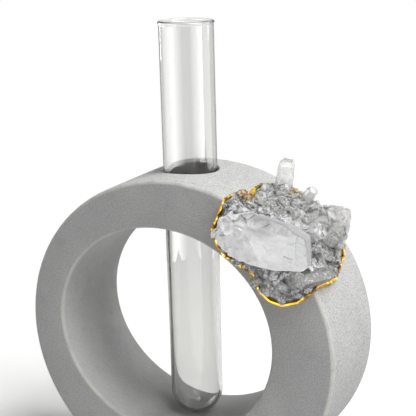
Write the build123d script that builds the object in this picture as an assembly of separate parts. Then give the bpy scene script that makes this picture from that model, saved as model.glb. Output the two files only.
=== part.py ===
"""Test tube vase: an oval concrete ring that holds one round-bottomed glass tube upright.

A cluster of rock crystal with a gilded edge is bonded over the ring's upper right front corner.
Millimetres, +Z up, front face towards -Y, origin at the middle of the flat foot.
"""

from build123d import *
from math import cos, radians, sin, sqrt
import os

# Ring
ring_width = 124.6
ring_height = 120.8
ring_depth = 40.0
foot_cut = 1.4
opening_width = 87.4
opening_height = 80.0
opening_shift_x = -4.75
opening_rise = 2.4
outer_edge_radius = 1.6
opening_edge_radius = 1.2
tube_hole_diameter = 21.0
tube_hole_edge_radius = 0.5
tube_hole_x = -2.7
tube_hole_y = 2.5

# Tube
tube_diameter = 20.0
tube_wall = 1.2
tube_length = 151.6
tube_bead = 0.3
tube_lean_in_hole = 0.2
tube_seat_gap = 0.3

# Crystal cluster, measured along the rim, outwards from it and forwards of the front face
stone_angle = 47.0
stone_half_span = 23.0
stone_reach_in = 20.0
stone_reach_back = 36.0
stone_front_thickness = 5.5
stone_top_thickness = 4.6
stone_side_slope = 14.0

# Joints between stone, gilding and ring
bed_thickness = 0.45
bed_inset = 1.0
gilt_thickness = 1.0
gilt_height = 1.8
seat_gap = 0.05
overrun = 5.0

# Crystals: greatest width, thickness and length of each
main_width = 18.7
main_thickness = 12.0
main_length = 38.8
rear_width = 17.0
rear_thickness = 16.0
rear_length = 16.6
upright_width = 7.0
upright_thickness = 6.2
upright_length = 19.5
upright_taper = 1.8
upright_shoulder_reach = 25.0
leaning_width = 5.2
leaning_thickness = 3.8
leaning_length = 13.5
lower_width = 6.4
lower_thickness = 5.4
lower_length = 18.6
druse_width = 3.4
druse_length = 7.0
crystal_taper = 2.5
tabular_front_slope = 9.0
tabular_back_slope = 20.0

# Outline of the gilded edge on the front face: shares of the half span and of the reach inwards
front_outline_shares = [
    (-0.81, -0.84), (-0.90, -0.56), (-0.99, -0.26), (-1.00, 0.20), (0.93, 0.20), (0.92, -0.22),
    (0.89, -0.52), (0.76, -0.81), (0.57, -0.94), (0.37, -0.96), (0.22, -0.90), (0.12, -0.82),
    (-0.12, -0.89), (-0.39, -0.99), (-0.56, -0.98),
]

# Its outline on the outer surface: shares of the half span and of the reach backwards
outer_outline_shares = [
    (-1.00, 0.17), (-1.00, -0.12), (-0.84, -0.20), (-0.81, -0.28), (-0.90, -0.44), (-0.92, -0.62),
    (-0.80, -0.80), (-0.50, -0.92), (-0.10, -0.98), (0.40, -1.00), (0.65, -0.96), (0.80, -0.80),
    (0.91, -0.60), (0.99, -0.43), (0.98, -0.28), (0.92, -0.10), (0.92, 0.17),
]

# Breaks that round the stone off: a place on each in the same shares, then the way it faces
stone_break_shares = [
    (-0.45, 0.18, -0.28, -0.28, 1.0, 0.05), (-0.85, 0.02, -0.39, -0.60, 1.0, -0.10),
    (0.60, 0.15, -0.20, 0.30, 1.0, 0.00), (0.90, -0.01, -0.30, 0.70, 1.0, -0.15),
    (0.00, 0.16, -0.83, 0.00, 1.0, -0.50), (0.00, 0.14, 0.11, 0.00, 0.7, 0.72),
    (0.10, -0.85, 0.080, 0.00, -0.8, 1.00), (-0.75, -0.65, 0.090, -0.60, -0.4, 1.00),
    (0.85, -0.40, 0.090, 0.80, -0.1, 1.00), (0.60, -0.75, 0.095, 0.50, -0.6, 1.00),
]

# The main crystal seen from the front: shares of its length and of its width
main_outline_shares = [
    (-0.47, -0.10), (-0.38, 0.26), (-0.28, 0.40), (-0.07, 0.50), (0.27, 0.41), (0.46, 0.24),
    (0.50, -0.27), (0.44, -0.38), (0.17, -0.50), (-0.21, -0.45), (-0.41, -0.27),
]
# Its facets: where each meets the broad face, in the same shares, and how far it leans each way
main_facet_shares = [
    (-0.02, -0.10, -0.26, -0.16), (-0.20, 0.16, -0.20, 0.34), (0.10, 0.26, 0.04, 0.55),
    (0.30, 0.02, 0.22, 0.02), (0.10, -0.30, 0.02, -0.62), (0.43, 0.10, 1.20, 0.30),
    (-0.30, -0.24, -0.55, -0.75), (-0.40, 0.10, -0.90, 0.35),
]

# The rear crystal and its facets in the same way
rear_outline_shares = [
    (-0.21, 0.50), (0.02, 0.49), (0.26, 0.30), (0.43, 0.14), (0.50, -0.02), (0.49, -0.14),
    (0.24, -0.38), (0.06, -0.48), (-0.06, -0.50), (-0.38, -0.38), (-0.50, -0.12), (-0.50, 0.29),
]
rear_facet_shares = [
    (0.10, 0.10, 0.30, 0.45), (0.05, -0.10, 0.10, -0.40), (0.30, -0.10, 0.85, -0.20),
    (-0.20, -0.25, -0.30, -0.60),
]

# Small crystals: place in shares of half span, reach inwards and reach backwards, then their lean
druse_place_shares = [
    (-0.80, -0.02, -0.02, -0.5, 0.7, 0.4), (-0.62, 0.15, -0.10, -0.4, 0.9, 0.3),
    (-0.72, 0.10, -0.34, -0.5, 0.8, 0.0), (-0.40, 0.20, -0.30, -0.2, 0.9, 0.4),
    (-0.16, 0.20, -0.30, 0.2, 0.9, 0.3), (-0.52, 0.17, -0.47, -0.5, 0.8, -0.1),
    (-0.10, 0.18, -0.72, 0.2, 0.9, -0.2), (-0.30, 0.17, -0.82, -0.2, 0.9, -0.4),
    (-0.68, 0.08, -0.70, -0.5, 0.8, -0.2),
    (-0.42, -0.74, 0.085, -0.2, -0.5, 0.9), (-0.20, -0.68, 0.12, 0.1, -0.5, 0.9),
    (0.04, -0.56, 0.14, 0.2, -0.3, 0.9), (0.24, -0.70, 0.12, -0.2, -0.4, 0.9),
    (0.42, -0.62, 0.13, 0.2, -0.5, 0.8), (0.66, -0.60, 0.10, 0.4, -0.4, 0.8),
    (0.55, -0.40, 0.14, -0.3, -0.1, 0.9), (0.80, -0.34, 0.09, 0.5, -0.2, 0.8),
    (0.86, 0.02, -0.26, 0.6, 0.8, 0.1), (0.78, 0.08, -0.42, 0.5, 0.8, -0.1),
    (0.64, 0.12, -0.68, 0.4, 0.8, -0.3), (0.36, -0.80, 0.085, 0.1, -0.5, 0.8),
    (0.26, 0.30, -0.24, 0.3, 0.9, -0.2), (0.02, 0.22, -0.40, 0.1, 0.9, 0.2),
    (-0.28, 0.20, -0.46, -0.1, 0.9, 0.2),
    (0.46, 0.16, -0.16, 0.4, 0.8, 0.3), (-0.46, 0.17, -0.14, 0.1, 0.9, 0.2),
]
druse_size_shares = [
    1.0, 1.3, 1.0, 1.3, 1.3, 1.5, 1.1, 0.9, 1.0, 0.8, 1.0, 0.9, 1.3, 1.1, 0.9, 1.0, 0.9,
    1.1, 1.0, 0.9, 0.7, 2.3, 1.1, 1.2, 1.4, 1.0,
]

# How far back from the apex each of the six end faces of a crystal starts, as shares of its width
blunt_end_shares = [0.55, 0.05, 0.35, 0.60, 0.20, 0.45]
sharp_end_shares = [0.00, 0.22, 0.10, 0.05, 0.30, 0.12]
chisel_end_shares = [0.05, 0.30, 0.02, 0.00, 0.26, 0.12]
shoulder_shares = [0.00, 0.30, 0.05, 0.10, 0.35, 0.00]

# How much of a small crystal is sunk in the rock, and its thickness beside its width
druse_sunk_share = 0.45
druse_flat_share = 0.85

# The widest level of a flat-lying crystal, as a share of its thickness from the back
girdle_share = 0.72

# An end face of quartz leans this far from the long axis, and a steep shoulder face this far, in degrees
end_face_angle = 38.2
shoulder_face_angle = 14.5

# Places worked out from the sizes above
ring_centre_z = ring_height / 2 - foot_cut
opening_x = opening_shift_x
opening_z = ring_centre_z + opening_rise
tube_x = tube_hole_x - tube_lean_in_hole
tube_y = tube_hole_y
tube_radius = tube_diameter / 2
tube_inner_radius = tube_radius - tube_wall
opening_share_x = (tube_x - opening_x) / (opening_width / 2)
opening_floor_z = opening_z - opening_height / 2 * sqrt(1 - opening_share_x ** 2)
tube_base_z = opening_floor_z + tube_seat_gap

stone_turn = radians(stone_angle)
stone_corner = Vector(
    ring_width / 2 * cos(stone_turn),
    -ring_depth / 2,
    ring_centre_z + ring_height / 2 * sin(stone_turn),
)
# In this frame X runs down along the rim, Y points out from it and Z forwards of the front face
stone_frame = Plane(
    origin=stone_corner,
    x_dir=(sin(stone_turn), 0, -cos(stone_turn)),
    z_dir=(0, -1, 0),
)


def oval_block(width, height, depth, centre_x, centre_z):
    """An elliptical cylinder along Y, centred on the ring's mid plane."""
    middle = Plane(origin=(centre_x, 0, centre_z), x_dir=(1, 0, 0), z_dir=(0, -1, 0))
    return extrude(middle * Ellipse(width / 2, height / 2), amount=depth / 2, both=True)


def rim_edges(solid, depth):
    """The closed oval edges on the front and back faces."""
    return [edge for edge in solid.edges() if abs(abs(edge.center().Y) - depth / 2) < seat_gap]


def ring_form(grow):
    """The ring's outer form without its openings, grown by the same amount all round."""
    block = oval_block(
        ring_width + 2 * grow, ring_height + 2 * grow, ring_depth + 2 * grow, 0, ring_centre_z
    )
    return fillet(rim_edges(block, ring_depth + 2 * grow), outer_edge_radius + grow)


def concrete_ring():
    """The cast ring: oval, flat on its foot, with the wide opening and the tube's hole."""
    body = oval_block(ring_width, ring_height, ring_depth, 0, ring_centre_z)
    body = fillet(rim_edges(body, ring_depth), outer_edge_radius)
    opening = oval_block(
        opening_width, opening_height, ring_depth + 2 * overrun, opening_x, opening_z
    )
    body -= opening
    inner_edges = [
        edge
        for edge in rim_edges(body, ring_depth)
        if edge.bounding_box().size.X < opening_width + seat_gap
    ]
    body = fillet(inner_edges, opening_edge_radius)
    body = split(body, bisect_by=Plane.XY, keep=Keep.TOP)
    hole_height = ring_height / 2 + overrun
    hole = Pos(tube_hole_x, tube_hole_y, ring_centre_z + hole_height / 2) * Cylinder(
        tube_hole_diameter / 2, hole_height
    )
    body -= hole
    mouth = [
        edge
        for edge in body.edges()
        if edge.geom_type != GeomType.LINE
        and edge.bounding_box().size.X < tube_hole_diameter + seat_gap
        and abs(edge.center().X - tube_hole_x) < tube_hole_diameter
        and abs(edge.center().Y - tube_hole_y) < tube_hole_diameter / 2
    ]
    return fillet(mouth, tube_hole_edge_radius)


def test_tube():
    """Round-bottomed glass tube with a fire-polished bead round its mouth."""
    bead_radius = (tube_wall + tube_bead) / 2
    bead_x = tube_inner_radius + bead_radius
    bead_z = tube_length - bead_radius
    foot_of_bead_z = bead_z - sqrt(bead_radius ** 2 - (tube_radius - bead_x) ** 2)
    turn = sqrt(0.5)
    outline = [
        ThreePointArc(
            (0, 0), (tube_radius * turn, tube_radius * (1 - turn)), (tube_radius, tube_radius)
        ),
        Line((tube_radius, tube_radius), (tube_radius, foot_of_bead_z)),
        ThreePointArc(
            (tube_radius, foot_of_bead_z), (bead_x, tube_length), (tube_inner_radius, bead_z)
        ),
        Line((tube_inner_radius, bead_z), (tube_inner_radius, tube_radius)),
        ThreePointArc(
            (tube_inner_radius, tube_radius),
            (tube_inner_radius * turn, tube_radius - tube_inner_radius * turn),
            (0, tube_wall),
        ),
        Line((0, tube_wall), (0, 0)),
    ]
    half_section = Plane.XZ * make_face(Wire(outline))
    return Pos(tube_x, tube_y, tube_base_z) * revolve(half_section, axis=Axis.Z)


def cluster_vector(along, out, forward):
    """A direction given in the cluster's frame, turned into the ring's frame."""
    frame = stone_frame
    return frame.x_dir * along + frame.y_dir * out + frame.z_dir * forward


def cluster_point(along, out, forward):
    """A place given in the cluster's frame, turned into the ring's frame."""
    return stone_corner + cluster_vector(along, out, forward)


def end_faces(solid, apex, axis, section, width, end_shares, angle=end_face_angle):
    """Cut the six sloping end faces that give a quartz crystal its point."""
    lean = radians(angle)
    for number, end_share in enumerate(end_shares):
        turn = radians(60 * number + 30)
        side = section.x_dir * cos(turn) + section.y_dir * sin(turn)
        normal = side * cos(lean) + axis * sin(lean)
        start = apex - axis * (end_share * width)
        solid = split(solid, bisect_by=Plane(origin=start, z_dir=normal), keep=Keep.BOTTOM)
    return solid


def pointed_crystal(
    root,
    axis,
    broad_face,
    width,
    thickness,
    length,
    end_shares,
    taper=crystal_taper,
    shoulder_reach=None,
):
    """A six-sided quartz crystal that tapers from its root to its point."""
    axis = axis.normalized()
    across = broad_face.cross(axis).normalized()
    section = Plane(origin=root, x_dir=across, z_dir=axis)
    corners = [
        (width / 2, 0),
        (width / 4, thickness / 2),
        (-width / 4, thickness / 2),
        (-width / 2, 0),
        (-width / 4, -thickness / 2),
        (width / 4, -thickness / 2),
    ]
    outline = make_face(Polyline(*corners, close=True))
    solid = extrude(section * outline, amount=length, taper=taper)
    if shoulder_reach:
        meeting = root + axis * shoulder_reach
        solid = end_faces(
            solid, meeting, axis, section, width, shoulder_shares, shoulder_face_angle
        )
    return end_faces(solid, root + axis * length, axis, section, width, end_shares)


def tabular_crystal(
    centre, axis, broad_face, width, thickness, length, outline_shares, facet_shares
):
    """A crystal that lies flat: its outline rises to a broad face that facets slope away from."""
    axis = axis.normalized()
    across = broad_face.cross(axis).normalized()
    girdle = Plane(origin=centre, x_dir=axis, z_dir=axis.cross(across))
    points = [(length * along, width * aside) for along, aside in outline_shares]
    outline = girdle * make_face(Polyline(*points, close=True))
    front_depth = thickness * (1 - girdle_share)
    back_depth = thickness * girdle_share
    front = extrude(outline, amount=front_depth, taper=tabular_front_slope)
    back = extrude(outline, amount=-back_depth, taper=tabular_back_slope)
    solid = front + back
    top = girdle.offset(front_depth)
    for along, aside, lean_along, lean_aside in facet_shares:
        start = top.from_local_coords((length * along, width * aside, 0))
        normal = top.x_dir * lean_along + top.y_dir * lean_aside + top.z_dir
        solid = split(solid, bisect_by=Plane(origin=start, z_dir=normal), keep=Keep.BOTTOM)
    return solid


def footprint_prism(shares, reach, grow, back, front, slope, on_front):
    """A block that stands on the cluster's outline, on the front face or on the outer surface."""
    points = [(stone_half_span * along, reach * across) for along, across in shares]
    outline = make_face(Polyline(*points, close=True))
    if grow:
        outline = offset(outline, amount=grow, kind=Kind.INTERSECTION)
    if on_front:
        base = stone_frame
    else:
        base = Plane(
            origin=stone_corner, x_dir=stone_frame.x_dir, z_dir=stone_frame.y_dir
        )
        outline = mirror(outline, about=Plane.XZ)
    sunk = base.offset(back)
    return extrude(sunk * outline, amount=front - back, taper=slope)


def cluster_block(grow, back, front_height, top_height, slope=0.0):
    """Both wings of the cluster, one on the front face and one on the outer surface."""
    front_wing = footprint_prism(
        front_outline_shares, stone_reach_in, grow, -back, front_height, slope, True
    )
    outer_wing = footprint_prism(
        outer_outline_shares, stone_reach_back, grow, -back, top_height, slope, False
    )
    return front_wing + outer_wing


def cluster_place(along_share, out_share, forward_share):
    """A place given in shares of the cluster's half span and of its reach inwards and back."""
    return cluster_point(
        along_share * stone_half_span, out_share * stone_reach_in, forward_share * stone_reach_back
    )


def large_crystals(keep_off):
    """The large crystals of the cluster, each trimmed by the ones that grew before it."""
    main = tabular_crystal(
        centre=cluster_place(-0.17, -0.115, 0.194),
        axis=cluster_vector(0.788, 0.616, 0),
        broad_face=cluster_vector(0, 0, 1),
        width=main_width,
        thickness=main_thickness,
        length=main_length,
        outline_shares=main_outline_shares,
        facet_shares=main_facet_shares,
    )
    rear = tabular_crystal(
        centre=cluster_place(0.29, 0.375, -0.57),
        axis=cluster_vector(0, 1, 0),
        broad_face=cluster_vector(0, 0, 1),
        width=rear_width,
        thickness=rear_thickness,
        length=rear_length,
        outline_shares=rear_outline_shares,
        facet_shares=rear_facet_shares,
    )
    upright = pointed_crystal(
        root=cluster_place(-0.426, -0.101, -0.593),
        axis=cluster_vector(-0.591, 0.799, -0.109),
        broad_face=cluster_vector(0.3, 0.3, 1.0),
        width=upright_width,
        thickness=upright_thickness,
        length=upright_length,
        end_shares=chisel_end_shares,
        taper=upright_taper,
        shoulder_reach=upright_shoulder_reach,
    )
    leaning = pointed_crystal(
        root=cluster_place(-0.182, -0.056, -0.689),
        axis=cluster_vector(-0.182, 0.981, -0.071),
        broad_face=cluster_vector(0.4, 0.1, 1.0),
        width=leaning_width,
        thickness=leaning_thickness,
        length=leaning_length,
        end_shares=sharp_end_shares,
    )
    lower = pointed_crystal(
        root=cluster_place(0.661, -0.062, 0.185),
        axis=cluster_vector(0.344, 0.202, -0.917),
        broad_face=cluster_vector(0.5, 0.9, 0.2),
        width=lower_width,
        thickness=lower_thickness,
        length=lower_length,
        end_shares=blunt_end_shares,
    )
    grown = {
        "main_crystal": main,
        "rear_crystal": rear,
        "upright_crystal": upright,
        "leaning_crystal": leaning,
        "lower_crystal": lower,
    }
    trimmed = {}
    for name, solid in grown.items():
        solid = solid - keep_off
        for earlier in trimmed.values():
            solid = solid - earlier
        trimmed[name] = largest(solid)
    return trimmed


def largest(shape):
    """The biggest solid of a cut shape."""
    return max(shape.solids(), key=lambda solid: solid.volume)


def stone_base(large):
    """The broken rock that the crystals stand on, cut to sit over the corner of the ring."""
    rock = cluster_block(
        -gilt_thickness, overrun, stone_front_thickness, stone_top_thickness, stone_side_slope
    )
    for along, out, forward, face_along, face_out, face_forward in stone_break_shares:
        normal = cluster_vector(face_along, face_out, face_forward)
        break_plane = Plane(origin=cluster_place(along, out, forward), z_dir=normal)
        rock = split(rock, bisect_by=break_plane, keep=Keep.BOTTOM)
    rock = rock - ring_form(bed_thickness + seat_gap)
    for grown in large:
        rock = rock - grown
    return largest(rock)


def druse_points(rock, large):
    """The small crystals that crowd the rock: each stands where its own axis leaves it."""
    form = ring_form(bed_thickness + 2 * seat_gap)
    grown = []
    for place, size_share in zip(druse_place_shares, druse_size_shares):
        along, out, forward, lean_along, lean_out, lean_forward = place
        heart = cluster_place(along, out, forward)
        axis = cluster_vector(lean_along, lean_out, lean_forward).normalized()
        outlets = [point for point, _ in rock.find_intersection_points(Axis(heart, axis))]
        outlet = max(outlets, key=lambda point: (point - heart).dot(axis))
        length = druse_length * size_share
        solid = pointed_crystal(
            root=outlet - axis * (length * druse_sunk_share),
            axis=axis,
            broad_face=cluster_vector(0.3, 0.4, 1.0),
            width=druse_width * size_share,
            thickness=druse_width * size_share * druse_flat_share,
            length=length,
            end_shares=sharp_end_shares,
        )
        for other in [rock, form, *large, *grown]:
            solid = largest(solid - other)
        grown.append(solid)
    return grown


def adhesive_bed():
    """The thin layer of adhesive that bonds the rock to the ring."""
    wings = cluster_block(-gilt_thickness - bed_inset, overrun, bed_thickness, bed_thickness)
    return (wings & ring_form(bed_thickness)) - ring_form(seat_gap)


def gilt_edge(neighbours):
    """The gilded border that runs round the foot of the rock and over the ring's corner."""
    inner = cluster_block(
        seat_gap - gilt_thickness, overrun, stone_front_thickness, stone_top_thickness
    )
    outer = cluster_block(0, overrun, gilt_height, gilt_height)
    border = (outer & ring_form(gilt_height)) - ring_form(seat_gap) - inner
    for neighbour in neighbours:
        border = border - neighbour
    return border


os.makedirs("parts", exist_ok=True)

large = large_crystals(ring_form(bed_thickness + 2 * seat_gap))
base = stone_base(large.values())
small = druse_points(base, large.values())
nodes = {
    "concrete_ring": concrete_ring(),
    "test_tube": test_tube(),
    "adhesive_bed": adhesive_bed(),
    "quartz_base": base,
    "gilt_edge": gilt_edge([*large.values(), *small]),
    "druse_points": Compound(children=small),
}
nodes.update(large)

for name, solid in nodes.items():
    export_step(solid, f"parts/{name}.step")
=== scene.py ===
"""Dresses the test tube vase: cast concrete, glass, rock crystal and gilding, in a pale studio."""

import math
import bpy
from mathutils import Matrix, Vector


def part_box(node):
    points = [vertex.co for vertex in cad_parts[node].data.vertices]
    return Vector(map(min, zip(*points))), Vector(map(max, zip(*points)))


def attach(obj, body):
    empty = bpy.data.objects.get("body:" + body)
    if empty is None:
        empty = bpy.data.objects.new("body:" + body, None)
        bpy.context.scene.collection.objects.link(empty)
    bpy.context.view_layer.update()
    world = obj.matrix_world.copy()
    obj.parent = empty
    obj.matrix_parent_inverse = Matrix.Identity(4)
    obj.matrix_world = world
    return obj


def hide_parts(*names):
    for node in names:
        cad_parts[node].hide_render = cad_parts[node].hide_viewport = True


bl_info = {
    "name": "Test tube vase",
    "version": (1, 0, 0),
    "blender": (4, 5, 0),
    "location": "View3D > Sidebar > Tube vase",
    "description": "Finishes a concrete ring vase with its glass tube and gilded rock crystal",
    "category": "Add Mesh",
}

from contextlib import contextmanager

import bmesh
import bpy
from bpy.props import FloatProperty, FloatVectorProperty, IntProperty, PointerProperty
from mathutils import Matrix, Vector

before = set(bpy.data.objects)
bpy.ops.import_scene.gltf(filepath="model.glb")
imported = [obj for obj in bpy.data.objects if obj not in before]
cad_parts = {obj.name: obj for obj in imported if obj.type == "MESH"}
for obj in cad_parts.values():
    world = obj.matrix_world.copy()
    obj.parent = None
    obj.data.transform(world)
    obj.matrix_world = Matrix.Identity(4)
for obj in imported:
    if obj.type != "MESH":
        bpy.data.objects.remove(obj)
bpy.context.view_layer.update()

MM = 0.001
STAND = "stand"
TUBE = "tube"

LARGE_CRYSTALS = ("rear_crystal", "upright_crystal", "leaning_crystal", "lower_crystal")
# Mesh sizes of the rock and the druse, as shares of the main crystal's
ROCK_CELL_SHARE = 1.15
DRUSE_CELL_SHARE = 0.9

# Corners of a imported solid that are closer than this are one, in metres
WELD = 1e-6
# Lengths on the tube under this count as nothing, in metres
NO_LENGTH = 1e-7
# Faces that turn by less than this are one face of a crystal
FLAT_ANGLE = math.radians(1)
# Edges of a sharp crystal that turn by more than this are worn
WORN_ANGLE = math.radians(15)
# Edges of a weathered piece that turn by more than this look sharp
CRISP_ANGLE = math.radians(28)
# Steps along each arc of the tube's section
ARC_STEPS = 24

QUARTZ_IOR = 1.54
GLASS_IOR = 1.5
WHITE = (1, 1, 1, 1)

# Middle of the ring, and smooth places on the crystals and the gilding, in millimetres
RING_MIDDLE = (0, 0, 60)
MAIN_FACE = (51.2, -30.0, 104.9)
REAR_FACE = (50.0, -10.0, 106.0)
BRIGHT_GILDING = (41.6, -21.8, 80.4)
# A centre and a reach that keep nothing calm
NOWHERE = ((0, 0, 0), 0.01)
# Faces of the crystals that look this way, to the right and up towards the lamps, get painted
# shade
PAINTED_SHADE_WAY = (0.75, -0.1, 0.65)

# Shaded grey, white and calm places in the crystal: the kind, and centre and reach in millimetres.
# The shaded grey places are painted shade: a grey patch with painted shade on the main crystal's
# top, and painted shadow in the dark hollow under the rear crystal
MILKY_PLACES = (
    ("Deep", (39.8, -28.8, 112.0), 8),
    # On the main crystal's lower left, which faces away from the lamps, the pale place is white
    # veils and painted light
    ("Pale", (29, -28, 98), 18),
    ("Calm", MAIN_FACE, 13),
)
CLEAR_PLACES = (
    ("Deep", (57, -13, 90), 17),
    ("Calm", (49.5, -11, 105.5), 6),
)
ROCK_PLACES = (
    ("Deep", (55.5, -5.0, 94.5), 12),
    ("Pale", (43, -27, 88.5), 4.5),
    ("Calm", (48, -7, 105.5), 6),
)

# Patches of small crystals: centre, reach, smallest and largest width, and spacing, in millimetres
DRUSE_PATCHES = (
    ((37, -10, 113), 8, (0.4, 1.6), 0.75),
    ((43, 4, 111), 8, (0.4, 1.4), 0.8),
    ((28, -8, 115), 6, (0.35, 1.1), 0.6),
    ((47.5, -24.8, 85), 3.4, (0.25, 0.7), 0.45),
    ((34, -26, 94), 5, (0.25, 0.7), 0.45),
    ((46, 11, 104), 10, (0.4, 1.2), 0.9),
)
# Patches of nuggets on the gilding: centre and reach in millimetres
NUGGET_PATCHES = (
    ((27, -7, 115), 7),
    ((33, -25, 93), 7),
    ((54, 11, 92), 9),
    ((45, 15, 106), 9),
)
# Patches of gilding that ran onto the cluster: the piece, and centre and reach in millimetres
FLECK_PATCHES = (
    ("grey_rock", (29, -16.5, 117), 3.6),
    ("grey_rock", (38.8, 4.5, 113), 4.5),
    ("druse_crystals", (28, -21.5, 118), 4),
)
# How far the grains lean at most, in radians
DRUSE_TILT = 0.7
NUGGET_TILT = 0.5
# Points tried for each square as wide as the spacing, of which those too close are dropped
POINTS_TRIED = 3

# Lamps: the setting of the power, and the angles to the right of the front and up, in degrees
LAMPS = (
    ("key", 60, 50),
    ("top", 90, 75),
    ("side", 90, 50),
    ("rim", -120, 5),
    ("back", 165, 35),
)
# Strip lights round the vase: the angle to the right of the front in degrees, the width in
# millimetres, and the shares of the full brightness at the near and the far side
STRIPS = (
    (67, 288, 0.05, 1.0),
    (117, 185, 0.33, 0.3),
    (-62, 270, 0.15, 0.85),
    (-13, 220, 0.85, 0.05),
    (180, 120, 0.04, 0.04),
    (-125, 120, 0.04, 0.04),
)


# Settings


def colour(name, description, default):
    """A colour setting."""
    return FloatVectorProperty(
        name=name, description=description, default=default, subtype="COLOR", size=3, min=0, max=1
    )


def length(name, description, millimetres):
    """A length setting, given in millimetres and kept in metres."""
    return FloatProperty(
        name=name, description=description, default=millimetres * MM, unit="LENGTH", min=0
    )


def angle(name, description, degrees):
    """An angle setting, given in degrees and kept in radians."""
    return FloatProperty(
        name=name, description=description, default=math.radians(degrees), subtype="ANGLE"
    )


def amount(name, description, default, least=0, unit="NONE"):
    """A number setting that isn't below a least value."""
    return FloatProperty(
        name=name, description=description, default=default, min=least, unit=unit
    )


def power(name, place, watts):
    """The power of a lamp."""
    return amount(name, f"Power of the lamp {place}", watts, unit="POWER")


class ConcreteSettings(bpy.types.PropertyGroup):
    """The cast ring."""

    tone: colour("Tone", "Middle colour of the cast concrete", (0.365, 0.365, 0.363))
    pale: colour("Pale patches", "Colour where lime has bloomed", (0.47, 0.47, 0.46))
    dark: colour("Dark patches", "Colour where cement lies at the surface", (0.25, 0.25, 0.248))
    # Painted highlight on the rounded edges, patchy like rubbed wear
    worn: colour("Lit and rubbed edges", "Colour of edges that are rubbed pale", (0.52, 0.515, 0.47))
    mottle: length("Mottle size", "Size of the pale and dark patches", 22)
    grain: length("Grain size", "Size of the sand grains that show", 0.5)
    bump: length("Relief", "Depth of the cast surface", 0.12)
    sharp_angle: angle("Sharp angle", "Edges that turn by more than this stay crisp", 35)


class GlassSettings(bpy.types.PropertyGroup):
    """The test tube."""

    tint: colour("Tint", "Colour of the glass surface", (0.95, 0.95, 0.945))
    depth: colour("Depth", "Colour that thick glass goes to", (0.03, 0.03, 0.0))
    density: amount("Density", "How much light a metre of the glass takes", 145.0)
    wall: length("Wall", "Thickness of the tube's wall", 1.2)
    bead: length("Bead", "How far the rim's bead stands out from the tube", 0.3)
    ripple: length("Ripple", "Depth of the waves in the drawn glass", 0.05)
    segments: IntProperty(
        name="Segments", description="Facets round the tube", default=160, min=24
    )


class CrystalSettings(bpy.types.PropertyGroup):
    """The rock crystal cluster."""

    veil: colour("Veils", "Colour of the white veils in all the crystals", (0.95, 0.95, 0.95))
    milky: colour("Milky crystal", "Colour of the large cloudy crystal", (0.91, 0.91, 0.915))
    # Also the painted shade on the faces that look to the right and up, and on the main crystal's
    # top
    milky_shade: colour("Milky shade", "Colour of its greyer bands", (0.27, 0.27, 0.275))
    clear: colour("Clear crystal", "Colour of the clear crystals", (0.89, 0.89, 0.885))
    glassy: colour("Glassy crystal", "Colour of the clearest points", (0.92, 0.92, 0.915))
    dusky: colour("Dusky crystal", "Colour of the crystal low on the right", (0.16, 0.16, 0.156))
    # Also the painted shade on the faces that look to the right and up, and the painted shadow
    # under the rear crystal
    clear_shade: colour("Clear shade", "Colour deep in the clear crystals", (0.23, 0.23, 0.225))
    rock: colour("Rock", "Colour of the grey rock under the crystals", (0.70, 0.70, 0.695))
    # Also the painted shadow under the rear crystal
    rock_shade: colour("Rock shade", "Colour of its dark hollows", (0.12, 0.12, 0.115))
    cell: length("Mesh size", "Size of the faces that the crystals are made of", 0.22)
    bevel: length("Bevel", "Width of the worn edges of the sharp crystals", 0.22)
    seed: IntProperty(name="Seed", description="Chance pattern of the druse", default=7)


class GildingSettings(bpy.types.PropertyGroup):
    """The gilded edge."""

    gold: colour("Gold", "Colour of the bright gilding", (0.58, 0.35, 0.03))
    worn: colour("Worn gold", "Brightest colour of the flecks on the rock", (0.42, 0.25, 0.04))
    hollow: colour("Hollows", "Colour where the gold is worn or shaded", (0.12, 0.06, 0.014))
    cell: length("Mesh size", "Size of the faces that the gilding is made of", 0.16)
    bump: length("Relief", "Depth of the creases in the gilding", 0.15)
    lumps: length("Lump depth", "How far the gilding swells and thins along the edge", 0.55)
    nugget: length("Nugget size", "Width of the largest nuggets on the gilding", 1.2)
    seed: IntProperty(name="Seed", description="Chance pattern of the nuggets", default=3)


class AdhesiveSettings(bpy.types.PropertyGroup):
    """The bed of adhesive under the rock."""

    clean: colour("Adhesive", "Colour of the set adhesive", (0.62, 0.6, 0.56))
    dust: colour("Dust", "Colour where dust has stuck to it", (0.4, 0.38, 0.34))


class StudioSettings(bpy.types.PropertyGroup):
    """Floor, light and camera."""

    ambient: amount("Ambient", "Strength of the light from all sides", 0.07)
    key: power("Key light", "on the right", 8.9)
    top: power("Top light", "overhead", 7.8)
    side: power("Side light", "beside the vase", 8.4)
    rim: power("Rim light", "low behind on the left", 5.4)
    back: power("Back light", "behind the vase", 3.0)
    lamp_width: length("Lamp width", "Width of each lamp", 600)
    lamp_distance: length("Lamp distance", "From each lamp to the vase", 1200)
    strip: amount("Strip light", "Brightness of the strip lights that the glass mirrors", 13.0)
    strip_height: length("Strip height", "Height of the strip lights", 300)
    strip_distance: length("Strip distance", "From the strip lights to the vase", 260)
    floor: colour("Floor", "Colour of the floor that lights the vase", (0.76, 0.76, 0.76))
    seen_floor: colour("Seen floor", "Colour of the floor as it is seen", (0.82, 0.817, 0.81))
    floor_width: length("Floor width", "Width of the floor", 12000)
    fade_start: length("Fade start", "Where the floor starts to fade to white", 160)
    fade_end: length("Fade end", "Where the floor is plain white", 340)
    distance: length("Camera distance", "From the camera to the point it looks at", 417.3)
    focal: amount("Focal length", "Lens of the camera, in mm", 94.24, least=10)
    azimuth: angle("Azimuth", "How far round to the right of the front the camera is", 27.71)
    elevation: angle("Elevation", "How far above the horizon the camera is", 15.05)
    roll: angle("Roll", "Turn of the camera about its view", -1.57)
    target: FloatVectorProperty(
        name="Target",
        description="Point that the camera looks at",
        default=(-2.2 * MM, 14.3 * MM, 100.9 * MM),
        subtype="TRANSLATION",
        unit="LENGTH",
    )


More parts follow.
